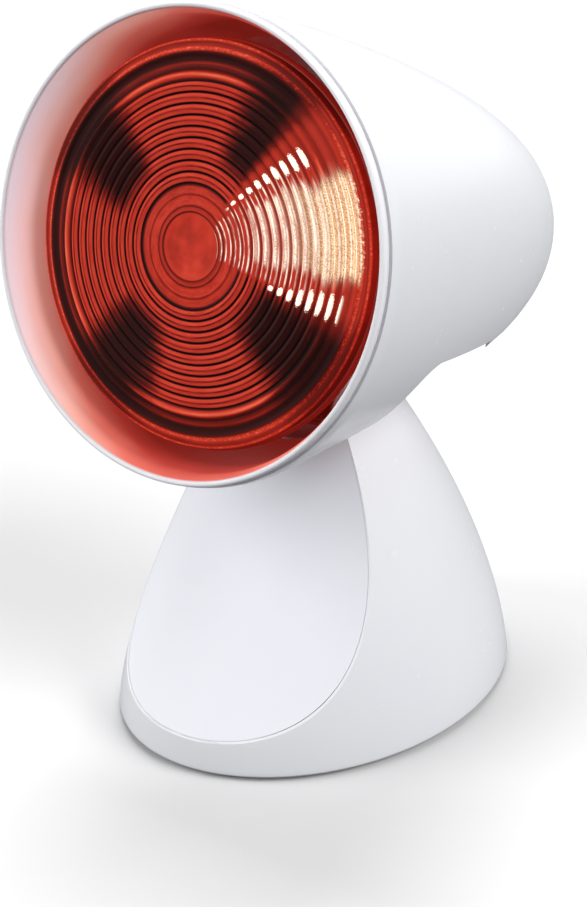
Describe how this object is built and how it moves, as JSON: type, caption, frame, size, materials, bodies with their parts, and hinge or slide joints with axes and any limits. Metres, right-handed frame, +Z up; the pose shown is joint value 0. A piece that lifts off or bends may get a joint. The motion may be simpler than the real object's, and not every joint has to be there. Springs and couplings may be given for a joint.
{
  "type": "infrared heat lamp",
  "caption": "Table heat lamp: an egg-shaped hood with a ridged red reflector bulb tilts on the neck of a weighted pedestal with a sloping front panel.",
  "frame": {"origin": "on the table, under the middle of the lamp's overall width and depth, 13.2 mm behind the middle of the base", "axes": "+Z up, the hood and the sloping panel face -Y, +X is the lamp's left as seen from behind it"},
  "size_m": [0.1412, 0.1958, 0.2383],
  "materials": {
    "white_shell": "smooth satin white",
    "white_liner": "gloss white enamel",
    "red_lens": "pressed ruby-stained glass, concentric ridges",
    "red_bowl": "red-stained glass, silvered inside",
    "thread_brass": "rolled, slightly dull",
    "black_glass": "black insulating glass",
    "solder": "soft solder pad",
    "lampholder": "glazed porcelain",
    "steel": "zinc plated",
    "filament": "bare wire",
    "fibre": "pressed fibre",
    "iron": "raw casting",
    "floor_plate": "light grey moulding",
    "black_rubber": "matt black",
    "switch_black": "fine satin black",
    "rocker_black": "gloss black",
    "inner_white": "ivory moulding"
  },
  "bodies": {
    "base": {"pedestal_shell": "white_shell", "front_panel": "white_shell", "base_plate": "floor_plate", "base_screws": "steel", "rubber_feet": "black_rubber", "ballast_weight": "iron", "ballast_screws": "steel", "hinge_sleeve": "thread_brass", "pivot_bolt": "steel", "pivot_nut": "steel", "pivot_caps": "white_shell", "friction_washers": "fibre", "switch_housing": "switch_black", "switch_terminals": "steel", "inlet_grommet": "black_rubber", "cord_clamp": "inner_white", "clamp_screws": "steel", "terminal_block": "inner_white", "terminal_screws": "thread_brass"},
    "head": {"hood_shell": "white_shell", "hood_liner": "white_liner", "head_bracket": "steel", "bracket_screws": "steel", "socket_body": "lampholder", "socket_sleeve": "thread_brass", "socket_contact": "thread_brass", "contact_screw": "thread_brass", "socket_screws": "steel"},
    "bulb": {"bulb_lens": "red_lens", "bulb_bowl": "red_bowl", "bulb_cap": "thread_brass", "cap_insulator": "black_glass", "cap_contact": "solder", "filament_mount": "filament"},
    "rocker": {"switch_rocker": "rocker_black"}
  },
  "joints": [
    {"name": "hood_tilt", "type": "hinge", "parent": "base", "child": "head", "pos_m": [0, -0.00723, 0.112], "axis": [-1, 0, 0], "range_deg": [-12, 33]},
    {"name": "bulb_turn", "type": "hinge", "parent": "head", "child": "bulb", "pos_m": [0, -0.08359, 0.17025], "axis": [0, -0.9781, 0.2079], "continuous": true},
    {"name": "rocker_switch", "type": "hinge", "parent": "base", "child": "rocker", "pos_m": [0, 0.05478, 0.03563], "axis": [1, 0, 0], "range_deg": [0, 20]}
  ]
}
